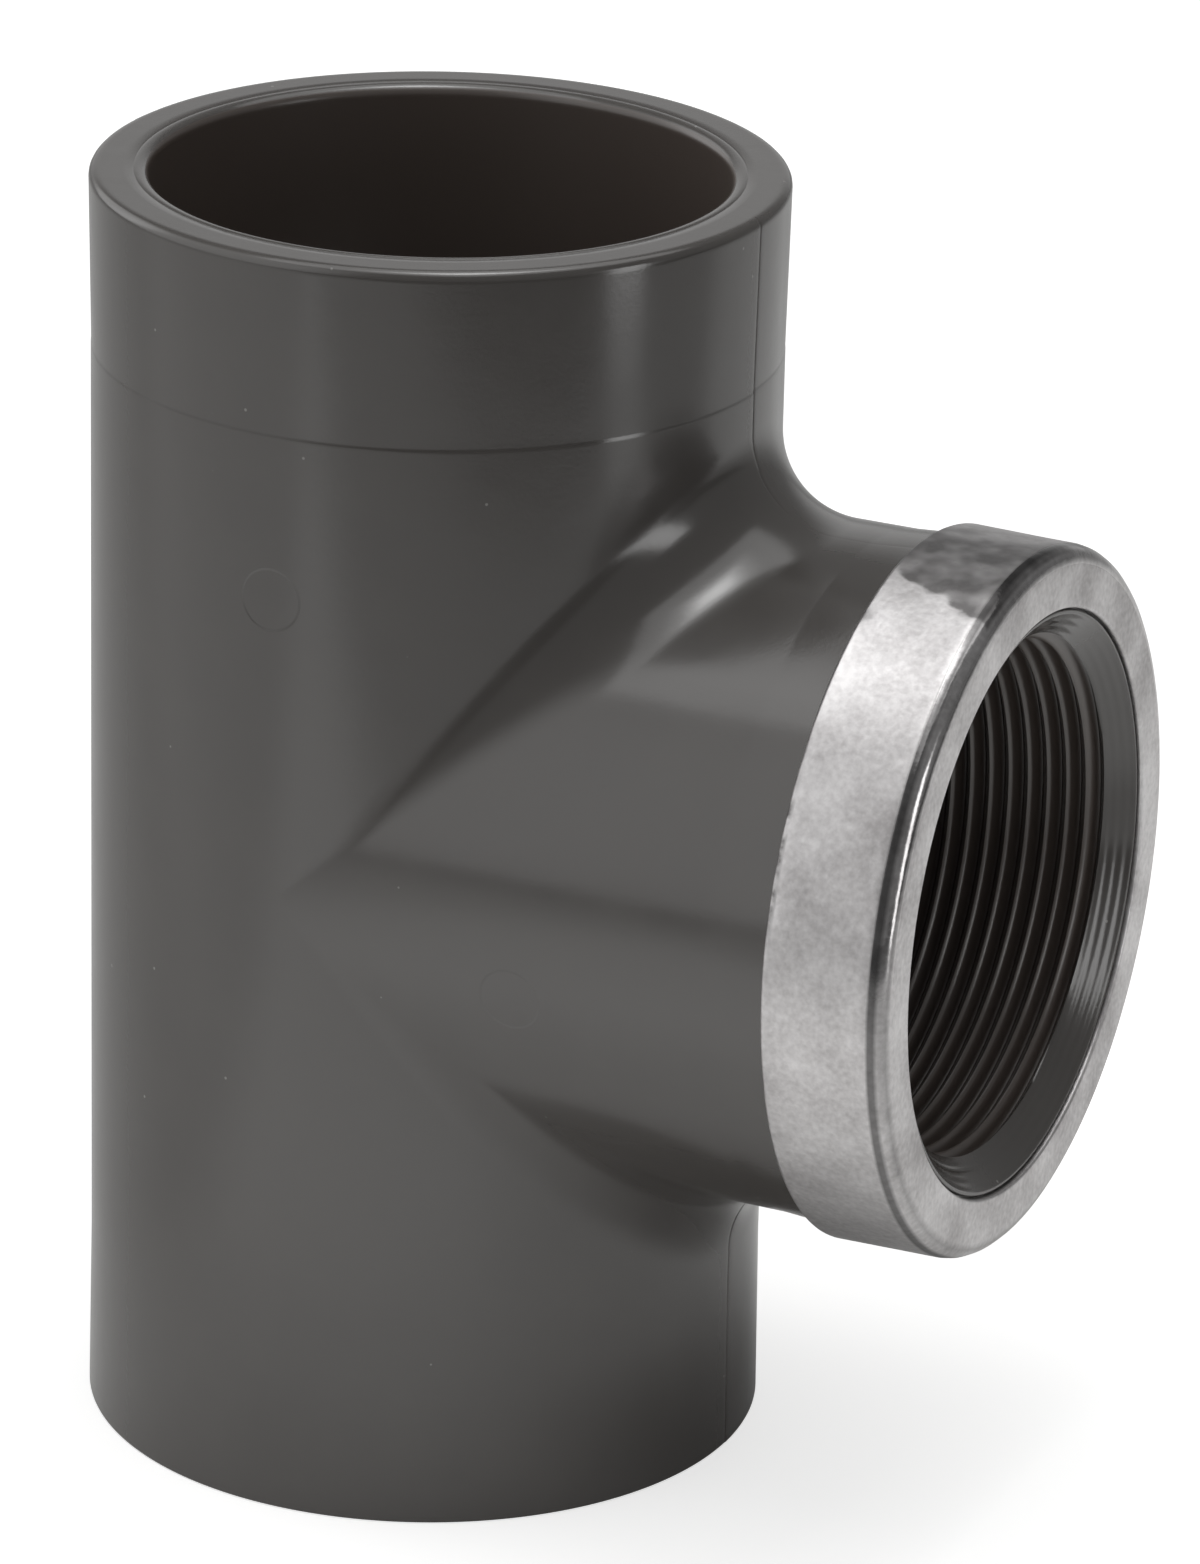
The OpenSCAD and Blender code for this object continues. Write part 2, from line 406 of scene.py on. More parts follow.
# %% [markdown]
# ## Building with nodes
# Materials and Geometry Nodes trees are both networks of nodes. One small function adds a
# node, sets what is set on it and connects its inputs, so a network reads as a list of
# steps. Colours are written as the hex values that a colour picker shows, and one
# function turns them to the linear values that the renderer works with.

# %% One function that adds a node, and one for colours
def add(tree, kind, sockets=None, **settings):
    """Adds a node. A socket's value is a number, or another node or socket to link."""
    node = tree.nodes.new(kind)
    for name, value in settings.items():
        setattr(node, name, value)
    for key, value in (sockets or {}).items():
        if isinstance(value, bpy.types.Node):
            value = value.outputs[0]
        if isinstance(value, bpy.types.NodeSocket):
            tree.links.new(value, node.inputs[key])
        else:
            node.inputs[key].default_value = value
    return node


def linear(hex_colour):
    """An sRGB hex colour such as "#808080" as linear red, green, blue and alpha."""
    parts = [int(hex_colour[k:k + 2], 16) / 255 for k in (1, 3, 5)]
    return (*(v / 12.92 if v <= 0.04045 else ((v + 0.055) / 1.055) ** 2.4 for v in parts), 1.0)


def per_mm(size):
    """The scale at which a texture in metres repeats every so many millimetres."""
    return 1000.0 / size


print("#808080 is", round(linear("#808080")[0], 3), "in linear light")

# %% What the materials share
MICRON = 1e-6           # bump heights are in metres


def new_material(name):
    """An empty material, its node tree and the coordinates that its patterns follow."""
    material = bpy.data.materials.new(name)
    material.use_nodes = True
    material.node_tree.nodes.clear()
    coordinates = add(material.node_tree, "ShaderNodeTexCoord").outputs["Object"]
    return material, material.node_tree, coordinates


def from_branch_axis(tree, place):
    """Each point's distance from the branch's axis, in metres."""
    centred = add(tree, "ShaderNodeVectorMath", {0: place, 1: (0.0, 0.0, REACH / 1000)},
                  operation="SUBTRACT")
    across = add(tree, "ShaderNodeVectorMath", {0: centred, 1: (0.0, 1.0, 1.0)},
                 operation="MULTIPLY")
    return add(tree, "ShaderNodeVectorMath", {0: across}, operation="LENGTH").outputs["Value"]


print("the branch's axis lies", REACH / 1000, "m above the floor")

# %% [markdown]
# ## Hard PVC, injection-moulded
# The body is hard PVC with a grey pigment, pressed hot into a polished steel mould. That
# gives the eye a dark, slightly warm grey with a satin gloss: broad soft reflections that
# are clear enough to show where a light ends. Up close the skin has a very fine grain,
# faint clouds where the melt flowed, two round marks left by ejector pins, and a few
# light specks of dust. Inside, the cores of the mould left a rougher skin, and there the
# colour is painted lighter and browner: painted light for the light that reaches into the
# bores. All marks lie at places on the object, so they are worked out from Object
# coordinates: each pin mark is the distance from the pin's own axis.

# %% Hard PVC: colour, dust and gloss
pvc, tree, place = new_material("hard_pvc_injection_moulded")
apart = add(tree, "ShaderNodeSeparateXYZ", {"Vector": place}).outputs
clouds = add(tree, "ShaderNodeTexNoise", {"Vector": place, "Scale": per_mm(9), "Detail": 3.0})
grain = add(tree, "ShaderNodeTexNoise", {"Vector": place, "Scale": per_mm(0.45), "Detail": 2.0})
dust = add(tree, "ShaderNodeTexVoronoi", {"Vector": place, "Scale": per_mm(6.0)})
speck = add(tree, "ShaderNodeMapRange", {
    "Value": dust.outputs["Distance"], "From Min": 0.022, "From Max": 0.034,
    "To Min": 1.0, "To Max": 0.0})
tint = add(tree, "ShaderNodeMixRGB", {
    "Fac": clouds.outputs["Fac"], "Color1": linear("#474442"), "Color2": linear("#4d4a47")})
colour = add(tree, "ShaderNodeMixRGB", {
    "Fac": speck, "Color1": tint, "Color2": linear("#7d7b78")})
gloss = add(tree, "ShaderNodeMapRange", {
    "Value": clouds.outputs["Fac"], "From Min": 0.3, "From Max": 0.7,
    "To Min": 0.15, "To Max": 0.2})
print("outer skin:", len(tree.nodes), "nodes")

# %% The rougher skin inside, with painted light in its colour, and fine rings on the cone ahead of the thread
BORE_MASK_R = 30.2           # just outside the thread's roots
CONE_SIDE_R = 31.8      # just outside the cone
RING_MARK_STEP = 0.8    # from one ring left by the tool to the next

from_axis = from_branch_axis(tree, place)
in_branch = add(tree, "ShaderNodeMath", {0: from_axis, 1: BORE_MASK_R / 1000}, operation="LESS_THAN")
half_way = THREAD_X / 2000      # within this of this place is from the run's axis to the cone
behind_cone = add(tree, "ShaderNodeMath", {0: apart["X"], 1: half_way, 2: half_way},
                  operation="COMPARE")
in_thread = add(tree, "ShaderNodeMath", {0: in_branch, 1: behind_cone}, operation="MULTIPLY")
level = add(tree, "ShaderNodeVectorMath", {0: place, 1: (1.0, 1.0, 0.0)}, operation="MULTIPLY")
from_run = add(tree, "ShaderNodeVectorMath", {0: level}, operation="LENGTH").outputs["Value"]
in_run = add(tree, "ShaderNodeMath", {0: from_run, 1: (SOCKET_R + 0.3) / 1000},
             operation="LESS_THAN")
in_bores = add(tree, "ShaderNodeMath", {0: in_thread, 1: in_run}, operation="MAXIMUM")
# Painted light: inside the bores the colour is painted lighter and browner, and the skin there is
# rougher.
bores_painted_lighter = add(tree, "ShaderNodeMixRGB", {
    "Fac": in_bores, "Color1": colour, "Color2": linear("#504843")})
roughened = add(tree, "ShaderNodeMixRGB", {
    "Fac": in_bores, "Color1": gloss, "Color2": (0.3, 0.3, 0.3, 1.0)})

in_mouth = add(tree, "ShaderNodeMath", {0: from_axis, 1: CONE_SIDE_R / 1000},
               operation="LESS_THAN")
on_cone = add(tree, "ShaderNodeMapRange", {
    "Value": apart["X"], "From Min": (THREAD_X + 0.3) / 1000, "From Max": (THREAD_X + 1.1) / 1000},
    interpolation_type="SMOOTHSTEP")
there = add(tree, "ShaderNodeMath", {0: in_mouth, 1: on_cone}, operation="MULTIPLY")
phase = add(tree, "ShaderNodeMath", {0: apart["X"], 1: 2 * math.pi * per_mm(RING_MARK_STEP)},
            operation="MULTIPLY")
wave = add(tree, "ShaderNodeMath", {0: phase}, operation="SINE")
ring_marks = add(tree, "ShaderNodeMath", {0: there, 1: wave}, operation="MULTIPLY")
print("with the skin inside:", len(tree.nodes), "nodes")

# %% Pin marks, grain and the finished shader
PIN_MARKS = [(-0.7, 34.1), (28.0, -6.2)]     # across and up, from the crossing
PIN_RADIUS = 3.5
IOR = 1.75              # hard PVC has about 1.54, but its polished skin mirrors more strongly

side_view = add(tree, "ShaderNodeCombineXYZ", {"X": apart["X"], "Z": apart["Z"]})
marks = 1.0
for across, up in PIN_MARKS:
    axis = (across / 1000, 0.0, (up + REACH) / 1000)
    away = add(tree, "ShaderNodeVectorMath", {0: side_view, 1: axis}, operation="DISTANCE")
    mark = add(tree, "ShaderNodeMapRange", {
        "Value": away.outputs["Value"], "From Min": (PIN_RADIUS - 0.25) / 1000,
        "From Max": (PIN_RADIUS + 0.1) / 1000}, interpolation_type="SMOOTHSTEP")
    marks = add(tree, "ShaderNodeMath", {0: marks, 1: mark}, operation="MULTIPLY")
skin = add(tree, "ShaderNodeBump", {"Height": grain.outputs["Fac"], "Distance": 6 * MICRON})
flow = add(tree, "ShaderNodeBump", {
    "Height": clouds.outputs["Fac"], "Distance": 30 * MICRON, "Normal": skin})
pins = add(tree, "ShaderNodeBump", {"Height": marks, "Distance": 50 * MICRON, "Normal": flow})
turned = add(tree, "ShaderNodeBump", {
    "Height": ring_marks, "Distance": 12 * MICRON, "Normal": pins})
shader = add(tree, "ShaderNodeBsdfPrincipled", {
    "Base Color": bores_painted_lighter, "Roughness": roughened, "IOR": IOR, "Normal": turned})
add(tree, "ShaderNodeOutputMaterial", {"Surface": shader})
print("material:", pvc.name, "with", len(tree.nodes), "nodes")

# %% [markdown]
# ## Stainless steel, deep-drawn sheet
# The ring is pressed from stainless sheet in one stroke. The metal stretches over the die
# and comes out satin, with clouds a few millimetres wide where it slid more or less, so
# its sheen is mottled although its colour is even. Colour alone would look painted; the
# clouds mostly go into the roughness and into a shallow bump, which make the reflections
# swell and break as they do on the real ring.

# %% Stainless steel sheet
steel, tree, place = new_material("stainless_steel_deep_drawn")
patches = add(tree, "ShaderNodeTexNoise", {
    "Vector": place, "Scale": per_mm(10.0), "Detail": 4.0, "Roughness": 0.5})
pits = add(tree, "ShaderNodeTexNoise", {"Vector": place, "Scale": per_mm(0.7), "Detail": 2.0})
waves = add(tree, "ShaderNodeTexNoise", {"Vector": place, "Scale": per_mm(6.0), "Detail": 1.0})
sheen = add(tree, "ShaderNodeMixRGB", {
    "Fac": 0.35, "Color1": patches.outputs["Fac"], "Color2": pits.outputs["Fac"]})
colour = add(tree, "ShaderNodeValToRGB", {"Fac": sheen})
for stop, position, tone in zip(colour.color_ramp.elements, (0.34, 0.66), ("#b0adad", "#dfdddd")):
    stop.position, stop.color = position, linear(tone)
satin = add(tree, "ShaderNodeMapRange", {
    "Value": patches.outputs["Fac"], "From Min": 0.3, "From Max": 0.7,
    "To Min": 0.46, "To Max": 0.37})
print("the ring's sheen has", len(tree.nodes), "nodes so far")

# %% [markdown]
# ## The ring's burnished bend, its painted reflections and its grime
# The die burnishes the bend, and a dark line on either side of its bright crown is a
# painted reflection in the metal's colour. On top of the band lies a dark patch with a
# frayed border, also a painted reflection, and on the left grime was pressed into the rear
# edge. Each mark is a share from 0 to 1: a noise gives its mottle, and one soft border
# after another then limits it to its place. The shares mix a darker tone into the metal's
# colour.

# %% The bend, by the angle round its own centre, from 0 at the band to 1 at the front
# Each row: a place on the bend, and the share of the metal's own lightness there. The dark
# rows are painted reflections of dark surroundings in the metal's colour.
PAINTED_BEND_REFLECTIONS = [(0.02, 1.0), (0.12, 0.34), (0.27, 0.36), (0.4, 0.95), (0.56, 0.9), (0.7, 0.7)]
BEND_END = 0.92         # from here on the tone is even again

apart = add(tree, "ShaderNodeSeparateXYZ", {"Vector": place}).outputs
from_axis = from_branch_axis(tree, place)
up_bend = add(tree, "ShaderNodeMath", {0: from_axis, 1: (RING_OUT_R - RING_BEND_R) / 1000},
              operation="SUBTRACT")
out_bend = add(tree, "ShaderNodeMath", {0: apart["X"], 1: (REACH - RING_BEND_R) / 1000},
               operation="SUBTRACT")
bend_angle = add(tree, "ShaderNodeMath", {0: out_bend, 1: up_bend}, operation="ARCTAN2")
bend_share = add(tree, "ShaderNodeMath", {0: bend_angle, 1: math.pi / 2}, operation="DIVIDE")
bend = add(tree, "ShaderNodeValToRGB", {"Fac": bend_share})
stops = bend.color_ramp.elements
for share, tone in PAINTED_BEND_REFLECTIONS:
    stops.new(share).color = (tone, tone, tone, 1.0)
stops[0].color = stops[-1].color = (1.0, 1.0, 1.0, 1.0)
stops[-1].position = BEND_END

# The crown is the bend without its two edges, and only its upper half is burnished
crown = add(tree, "ShaderNodeMath", {0: bend_share, 1: 0.5, 2: 0.42}, operation="COMPARE")
upper_half = add(tree, "ShaderNodeMapRange", {
    "Value": apart["Z"], "From Min": (REACH - 8) / 1000, "From Max": (REACH + 12) / 1000},
    interpolation_type="SMOOTHSTEP")
burnish = add(tree, "ShaderNodeMath", {0: crown, 1: upper_half}, operation="MULTIPLY")
rough = add(tree, "ShaderNodeMixRGB", {
    "Fac": burnish, "Color1": satin, "Color2": (0.17, 0.17, 0.17, 1.0)})
print("bend:", len(stops), "stops of tone")

# %% The painted dark reflection on top of the band, and the grime on its rear edge
def limited(share, borders):
    """A share times one soft border for each row: a measure, the millimetres from which
    and to which it counts, the share that is left at each, and the form of the ramp."""
    for measure, start, end, at_start, at_end, form in borders:
        border = add(tree, "ShaderNodeMapRange", {
            "Value": measure, "From Min": start / 1000, "From Max": end / 1000,
            "To Min": at_start, "To Max": at_end}, interpolation_type=form)
        share = add(tree, "ShaderNodeMath", {0: share, 1: border}, operation="MULTIPLY")
    return share


SLANT = 0.43            # how much the border of the painted reflection leans over the width of the band
FRAY = 0.005            # how far a noise frays it, in metres
fray = add(tree, "ShaderNodeTexNoise", {"Vector": place, "Scale": per_mm(2.8), "Detail": 5.0})
slant = add(tree, "ShaderNodeMath", {0: apart["X"], 1: SLANT, 2: apart["Y"]},
            operation="MULTIPLY_ADD")
frayed = add(tree, "ShaderNodeMath", {0: fray.outputs["Fac"], 1: FRAY, 2: slant},
             operation="MULTIPLY_ADD")
mottle = add(tree, "ShaderNodeMapRange", {
    "Value": fray.outputs["Fac"], "From Min": 0.38, "From Max": 0.62,
    "To Min": 0.42, "To Max": 0.75})
on_top = add(tree, "ShaderNodeMath", {0: apart["Z"], 1: (REACH + 20) / 1000},
             operation="GREATER_THAN")
# A dark patch painted on top of the band: a painted reflection of dark surroundings.
painted_top_reflection = limited(add(tree, "ShaderNodeMath", {0: mottle, 1: on_top}, operation="MULTIPLY"), [
    (frayed, 18.6, 19.8, 0.0, 1.0, "SMOOTHSTEP"),
    (apart["Y"], 0.0, 14.0, 1.0, 0.0, "SMOOTHSTEP"),
    (from_axis, 38.2, 38.6, 0.0, 1.0, "SMOOTHSTEP"),
])
spots = add(tree, "ShaderNodeMapRange", {
    "Value": fray.outputs["Fac"], "From Min": 0.42, "From Max": 0.52, "To Max": 0.85})
on_left = add(tree, "ShaderNodeMath", {0: apart["Y"], 1: 0.0}, operation="LESS_THAN")
grime = limited(add(tree, "ShaderNodeMath", {0: spots, 1: on_left}, operation="MULTIPLY"), [
    (apart["X"], RING_BACK_X + 0.35, RING_BACK_X + 0.8, 1.0, 0.0, "LINEAR"),
    (apart["Z"], REACH + 6, REACH + 11, 0.0, 1.0, "LINEAR"),
    (apart["Z"], REACH + 19, REACH + 24, 1.0, 0.0, "LINEAR"),
])
# The grime on the rear edge and the painted reflection on top of the band, as one share.
grime_and_painted_reflection = add(tree, "ShaderNodeMath", {0: painted_top_reflection, 1: grime}, operation="MAXIMUM")
print("with its stains the tree has", len(tree.nodes), "nodes")

# %% The finished steel
# The dark tone mixes in the grime and the painted reflection on top of the band.
with_grime_and_painted_reflection = add(tree, "ShaderNodeMixRGB", {
    "Fac": grime_and_painted_reflection, "Color1": colour.outputs["Color"], "Color2": linear("#3a3837")})
# The bend's painted reflections, dark lines beside its crown, multiply into the colour.
with_painted_bend_reflection = add(tree, "ShaderNodeMixRGB", {
    "Fac": 1.0, "Color1": with_grime_and_painted_reflection, "Color2": bend.outputs["Color"]}, blend_type="MULTIPLY")
peel = add(tree, "ShaderNodeBump", {"Height": pits.outputs["Fac"], "Distance": 16 * MICRON})
swell = add(tree, "ShaderNodeBump", {
    "Height": waves.outputs["Fac"], "Distance": 140 * MICRON, "Normal": peel})
shader = add(tree, "ShaderNodeBsdfPrincipled", {
    "Base Color": with_painted_bend_reflection, "Metallic": 1.0, "Roughness": rough, "Normal": swell})
add(tree, "ShaderNodeOutputMaterial", {"Surface": shader})
print("material:", steel.name, "with", len(tree.nodes), "nodes")

# %% [markdown]
# ## The pipe thread
# The branch has a right-hand pipe thread with 11 turns to the inch and rounded crests and
# roots. A thread follows a rule, so Geometry Nodes make it: a flat grid is wrapped round
# the branch's axis, and each point's distance from the axis follows from how far along
# the helix it lies. The grid is sheared so that its rows run along the helix; on a
# straight grid every crest would look like a staircase. Points past either end are held
# at the end, and a cone at the mouth cuts the first crests back as on the real part. The
# arithmetic is a table with one step in each row, and a loop turns each row into a node.

# %% The inputs of a node tree that makes an internal thread
CREST_X = 66.8 + 0.75 * THREAD_PITCH    # where a crest would pass the branch's underside
THREAD_INPUTS = {
    "Crest Radius": THREAD_R / 1000, "Groove Depth": THREAD_DEPTH / 1000,
    "Pitch": THREAD_PITCH / 1000, "Mouth Place": MOUTH_CONE_X / 1000,
    "End Place": THREAD_END_X / 1000, "Mouth Radius": MOUTH_CONE_R / 1000,
    "Crest Place": CREST_X / 1000, "Height of Axis": REACH / 1000,
}
COUNT_INPUTS = {"Turns": 14, "Rows per Turn": 12, "Columns": len(INSIDE) - 1}

thread_tree = bpy.data.node_groups.new("internal_thread", "GeometryNodeTree")
identifiers = {}
for name in (*THREAD_INPUTS, *COUNT_INPUTS, "Material"):
    kind = "Float" if name in THREAD_INPUTS else "Int" if name in COUNT_INPUTS else "Material"
    socket = thread_tree.interface.new_socket(
        name, in_out="INPUT", socket_type="NodeSocket" + kind)
    if kind == "Float":
        socket.subtype = "DISTANCE"
    identifiers[name] = socket.identifier
thread_tree.interface.new_socket("Geometry", in_out="OUTPUT", socket_type="NodeSocketGeometry")
given = add(thread_tree, "NodeGroupInput").outputs
print("inputs:", ", ".join(identifiers))

# %% From a flat grid to a helix
grid_position = add(thread_tree, "GeometryNodeInputPosition")
flat = add(thread_tree, "ShaderNodeSeparateXYZ", {0: grid_position}).outputs
# The value of each step by name, from the tree's inputs onwards
value = {name: given[name] for name in (*THREAD_INPUTS, *COUNT_INPUTS)}
value |= {"flat x": flat["X"], "flat y": flat["Y"]}
HELIX = [
    # name, operation and what it works on
    ("row steps", "MULTIPLY", "Turns", "Rows per Turn"),
    ("rows", "ADD", "row steps", 1.0),
    ("columns", "ADD", "Columns", 1.0),
    ("length share", "ADD", "flat x", 0.5),
    ("turn", "MULTIPLY", "length share", "Turns"),
    ("round share", "ADD", "flat y", 0.5),
    ("crest to end", "SUBTRACT", "End Place", "Crest Place"),
    ("turns to end", "DIVIDE", "crest to end", "Pitch"),
    ("whole turns", "FLOOR", "turns to end", 0.0),
    ("to first crest", "MULTIPLY", "whole turns", "Pitch"),
    ("first crest", "ADD", "Crest Place", "to first crest"),
    ("turns along", "SUBTRACT", "turn", "round share"),
    ("along", "MULTIPLY", "turns along", "Pitch"),
    ("free", "ADD", "first crest", "along"),
    ("past end", "MAXIMUM", "free", "End Place"),
    ("held", "MINIMUM", "past end", "Mouth Place"),
    ("from crest", "SUBTRACT", "held", "Crest Place"),
    ("turns from crest", "DIVIDE", "from crest", "Pitch"),
    ("phase", "ADD", "turns from crest", "round share"),
    ("half off crest", "PINGPONG", "phase", 0.5),
    ("off crest", "MULTIPLY", "half off crest", 2.0),
    ("root radius", "ADD", "Crest Radius", "Groove Depth"),
]
for name, operation, *operands in HELIX:
    operands = {k: value.get(operand, operand) for k, operand in enumerate(operands)}
    value[name] = add(thread_tree, "ShaderNodeMath", operands, operation=operation)
value["form"] = add(thread_tree, "ShaderNodeMapRange", {
    "Value": value["off crest"], "To Min": value["Crest Radius"],
    "To Max": value["root radius"]}, interpolation_type="SMOOTHSTEP")
print("the helix takes", len(HELIX), "steps")

# %% The thread's points, cut back by the cone at the mouth
TO_POINTS = [
    ("behind mouth", "SUBTRACT", "Mouth Place", "held"),
    ("lead in", "SUBTRACT", "Mouth Radius", "behind mouth"),
    ("radius", "MAXIMUM", "form", "lead in"),
    ("centred share", "SUBTRACT", "round share", 0.5),
    ("angle", "MULTIPLY", "centred share", 2 * math.pi),
    ("cosine", "COSINE", "angle"),
    ("sine", "SINE", "angle"),
    ("rise", "MULTIPLY", "radius", "cosine"),
    ("up", "ADD", "rise", "Height of Axis"),
    ("across", "MULTIPLY", "radius", "sine"),
]
for name, operation, *operands in TO_POINTS:
    operands = {k: value.get(operand, operand) for k, operand in enumerate(operands)}
    value[name] = add(thread_tree, "ShaderNodeMath", operands, operation=operation)
grid = add(thread_tree, "GeometryNodeMeshGrid", {
    "Size X": 1.0, "Size Y": 1.0, "Vertices X": value["rows"], "Vertices Y": value["columns"]})
point = add(thread_tree, "ShaderNodeCombineXYZ", {
    "X": value["held"], "Y": value["across"], "Z": value["up"]})
wrapped = add(thread_tree, "GeometryNodeSetPosition", {"Geometry": grid, "Position": point})
welded = add(thread_tree, "GeometryNodeMergeByDistance", {"Geometry": wrapped, "Distance": 2e-6})
real = add(thread_tree, "GeometryNodeRealizeInstances", {"Geometry": welded})
dressed = add(thread_tree, "GeometryNodeSetMaterial", {
    "Geometry": real, "Material": given["Material"]})
add(thread_tree, "NodeGroupOutput", {0: dressed})
print("the tree has", len(thread_tree.nodes), "nodes")

# %% The thread as a mesh
carrier = bpy.data.objects.new("thread_carrier", bpy.data.meshes.new("thread_carrier"))
bpy.context.scene.collection.objects.link(carrier)
modifier = carrier.modifiers.new("thread", "NODES")
modifier.node_group = thread_tree
for name, setting in (THREAD_INPUTS | COUNT_INPUTS | {"Material": pvc}).items():
    modifier[identifiers[name]] = setting
evaluated = carrier.evaluated_get(bpy.context.evaluated_depsgraph_get())
thread_mesh = bpy.data.meshes.new_from_object(evaluated)
bpy.data.objects.remove(carrier)
print("thread:", len(thread_mesh.vertices), "points,", len(thread_mesh.polygons), "faces")

# %% [markdown]
# ## Welding the body
# The thread ends in two rings of points. The one at the mouth meets the lip's profile.
# The inner one follows the thread's form, and a flat shoulder joins it to the waterway.
# Then all patches are welded into one closed mesh, its faces are turned outwards, and
# only edges that bend by more than 40 degrees are drawn sharp.

# %% Shoulder behind the thread
share = (INSIDE + 180) / 360
phase = (THREAD_END_X - CREST_X) / THREAD_PITCH + share
off = 1 - np.abs(2 * (phase % 1) - 1)
form = THREAD_R + THREAD_DEPTH * off * off * (3 - 2 * off)
shoulder = [about_branch(form, INSIDE, THREAD_END_X)]
for r, x in ((BRANCH_WATER_R + 0.5, THREAD_END_X), (BRANCH_WATER_R + 0.1, THREAD_END_X - 0.1),
             (BRANCH_WATER_R, THREAD_END_X - 0.4)):
    shoulder.append(about_branch(r, INSIDE, x))
add_grid(np.array(shoulder))
print("shoulder from", BRANCH_WATER_R, "to", round(form.max(), 2), "mm")

# %% One closed mesh for the body
SHARP = math.radians(40)
WELD = 3e-6             # in metres


def finish_mesh(name, build, material):
    """Welds a mesh, turns its faces outwards, shades it and makes it an object."""
    bmesh.ops.remove_doubles(build, verts=build.verts, dist=WELD)
    bmesh.ops.recalc_face_normals(build, faces=build.faces)
    open_edges = sum(1 for edge in build.edges if not edge.is_manifold)
    mesh = bpy.data.meshes.new(name)
    build.to_mesh(mesh)
    build.free()
    mesh.materials.clear()
    mesh.materials.append(material)
    mesh.polygons.foreach_set("material_index", [0] * len(mesh.polygons))
    mesh.shade_smooth()
    mesh.set_sharp_from_angle(angle=SHARP)
    piece = bpy.data.objects.new(name, mesh)
    bpy.context.scene.collection.objects.link(piece)
    mesh.calc_loop_triangles()
    print(name, "has", len(mesh.loop_triangles), "triangles and", open_edges, "open edges")
    return piece


patches_mesh = bpy.data.meshes.new("patches")
patches_mesh.from_pydata(to_metres(np.vstack(body_points)).tolist(), [], body_faces)
build = bmesh.new()
build.from_mesh(patches_mesh)
build.from_mesh(thread_mesh)
body = finish_mesh("moulded_tee", build, pvc)
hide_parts("tee_body")
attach(body, "root")

# %% [markdown]
# ## The steel ring
# The ring is a cup with a large hole: a band round the branch, a bend, and a flat front.
# The press leaves a rounded cut edge at the back, a band that isn't perfectly round, and
# a few nicks. So its profile is spun finely, and the points are then moved a few
# hundredths of a millimetre by noise, and a little more at each nick.

# %% The ring's profile, spun round the branch
RING_STEP = 0.75        # degrees from one column to the next
RING_ROW = 0.6          # and millimetres from one row to the next
RING_MID_X = 64.0       # where the closed profile starts and ends, inside the band
profile = rounded([
    (RING_IN_R, RING_MID_X, 0), (RING_IN_R, RING_BACK_X, 0.15), (RING_BACK_R, RING_BACK_X, 0.4),
    (RING_OUT_R, REACH, RING_BEND_R), (RING_HOLE_R, REACH, 0.4), (RING_HOLE_R, SEAT_X, 0.12),
    (RING_IN_R, SEAT_X, 1.0), (RING_IN_R, RING_MID_X, 0),
])
dense = [profile[0]]
for start, end in zip(profile[:-1], profile[1:]):
    pieces = max(1, round(float(np.linalg.norm(end - start)) / RING_ROW))
    dense.extend(start + (end - start) * k / pieces for k in range(1, pieces + 1))
dense = np.array(dense)
ring_angles = np.arange(-180, 180, RING_STEP)
ring_grid = about_branch(dense[:-1, :1], ring_angles[None, :], dense[:-1, 1:])
print("ring:", ring_grid.shape[0], "rows of", ring_grid.shape[1], "points")

# %% Waves and nicks
BAND_R = 39.0           # for lengths round the band
OUTER_R = 38.3          # nicks reach only what lies outside this
WAVES = [(0.03, 9.0), (0.01, 3.5)]      # depth and size of each noise
# Each nick: angle about the branch, place along it, length round the edge, width, depth
NICKS = [
    (-24.0, 58.3, 0.9, 0.5, 0.12), (-50.0, 58.2, 2.2, 0.4, 0.14), (-60.0, 58.3, 3.0, 0.5, 0.2),
    (-68.0, 58.2, 1.6, 0.5, 0.16), (-74.0, 58.4, 2.6, 0.5, 0.18), (-104.0, 58.2, 1.2, 0.5, 0.1),
    (100.0, 58.3, 1.4, 0.5, 0.14), (160.0, 58.4, 1.0, 0.6, 0.12), (-48.0, 68.9, 1.0, 0.6, 0.09),
    (-75.0, 70.6, 0.7, 0.5, 0.06), (70.0, 70.2, 0.9, 0.6, 0.08),
]


def dented(p, angle):
    """A point of the ring after the press: waves a few hundredths deep, and nicks."""
    x, y, z = p
    out = Vector((0, y, z)).normalized()
    moved = Vector(p) + out * sum(deep * noise.noise(Vector(p) / size) for deep, size in WAVES)
    for at, nick_x, length, width, depth in NICKS:
        gap = ((angle - at + 180) % 360 - 180) * math.radians(1) * BAND_R
        reach = (gap / length) ** 2 + ((x - nick_x) / width) ** 2
        if reach < 6 and math.hypot(y, z) > OUTER_R:
            moved -= out * depth * math.exp(-reach)
    return moved


build = bmesh.new()
rings = [[build.verts.new(to_metres(dented(p, a))) for p, a in zip(row, ring_angles)]
         for row in ring_grid.tolist()]
for k, row in enumerate(rings):
    following = rings[(k + 1) % len(rings)]
    for j in range(len(row)):
        n = (j + 1) % len(row)
        build.faces.new((row[j], row[n], following[n], following[j]))
ring = finish_mesh("pressed_ring", build, steel)
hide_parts("reinforcing_ring")
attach(ring, "root")

